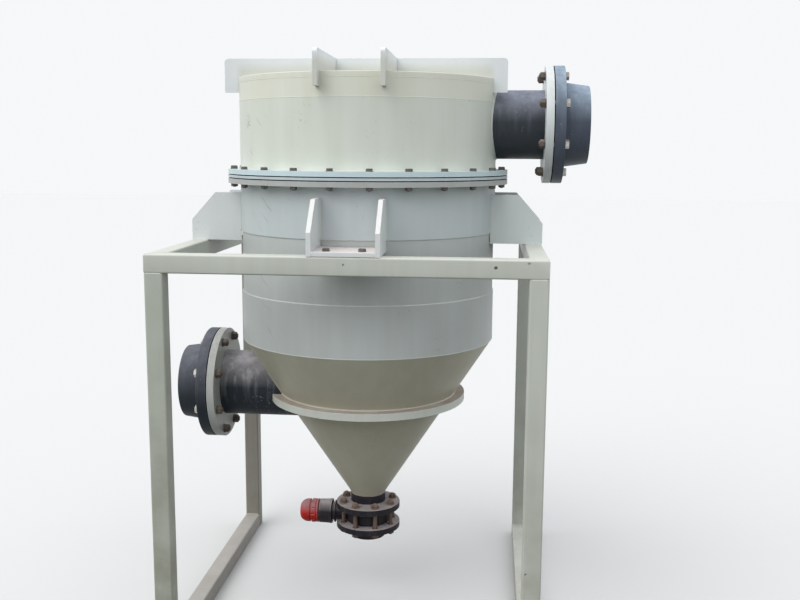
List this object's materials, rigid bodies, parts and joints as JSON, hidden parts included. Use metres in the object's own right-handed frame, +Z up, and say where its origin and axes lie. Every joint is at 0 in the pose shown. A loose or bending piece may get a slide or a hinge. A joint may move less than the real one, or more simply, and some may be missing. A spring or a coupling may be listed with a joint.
{
  "type": "pulse dust collector on a stand",
  "caption": "Round plastic dust collector with a cone hopper, flanged side inlet and outlet ducts and a bottom discharge valve, hung by brackets in an open square steel stand.",
  "frame": {"origin": "on the ground under the vessel's axis", "axes": "+Z up, +X from the inlet side towards the outlet duct, -Y towards the front"},
  "size_m": [1.221, 1.04, 1.658],
  "materials": {
    "stand_paint": "off-white paint, worn at the edges",
    "vessel_plastic": "natural white, satin",
    "sheet_plastic": "blue-grey, satin",
    "seal_rubber": "black, matt",
    "duct_plastic": "dark grey, satin, dusty on top",
    "ring_plastic": "white, satin",
    "valve_plastic": "dark grey, dusty",
    "valve_steel": "machined",
    "cap_plastic": "red, sun-faded on top"
  },
  "bodies": {
    "collector": {"leg_front_left": "stand_paint", "leg_front_right": "stand_paint", "leg_back_left": "stand_paint", "leg_back_right": "stand_paint", "top_rail_front": "stand_paint", "top_rail_right": "stand_paint", "top_rail_back": "stand_paint", "top_rail_left": "stand_paint", "foot_rail_left": "stand_paint", "foot_rail_right": "stand_paint", "body_band_lower": "vessel_plastic", "body_band_middle": "vessel_plastic", "body_band_upper": "vessel_plastic", "body_flange": "vessel_plastic", "plenum_flange": "vessel_plastic", "plenum_band_lower": "vessel_plastic", "plenum_band_upper": "vessel_plastic", "lid_plate": "vessel_plastic", "lid_rib_front": "vessel_plastic", "lid_rib_right": "vessel_plastic", "lid_rib_back": "vessel_plastic", "lid_rib_left": "vessel_plastic", "upper_hopper": "vessel_plastic", "hopper_ring": "vessel_plastic", "lower_hopper": "vessel_plastic", "bracket_front": "vessel_plastic", "bracket_right": "vessel_plastic", "bracket_back": "vessel_plastic", "bracket_left": "vessel_plastic", "tube_sheet": "sheet_plastic", "lower_gasket": "seal_rubber", "upper_gasket": "seal_rubber", "inlet_pipe": "duct_plastic", "inlet_flange": "duct_plastic", "inlet_gasket": "seal_rubber", "inlet_backing_ring": "ring_plastic", "outlet_pipe": "duct_plastic", "outlet_flange": "duct_plastic", "outlet_gasket": "seal_rubber", "outlet_backing_ring": "ring_plastic", "discharge_upper_flange": "valve_plastic", "discharge_lower_flange": "valve_plastic", "valve_body": "valve_plastic"},
    "valve_rotor": {"valve_disc": "valve_steel", "valve_cap": "cap_plastic"}
  },
  "joints": [
    {"name": "valve_turn", "type": "hinge", "parent": "collector", "child": "valve_rotor", "pos_m": [0, 0, 0.25727], "axis": [1, 0, 0], "range_deg": [0, 90]}
  ]
}
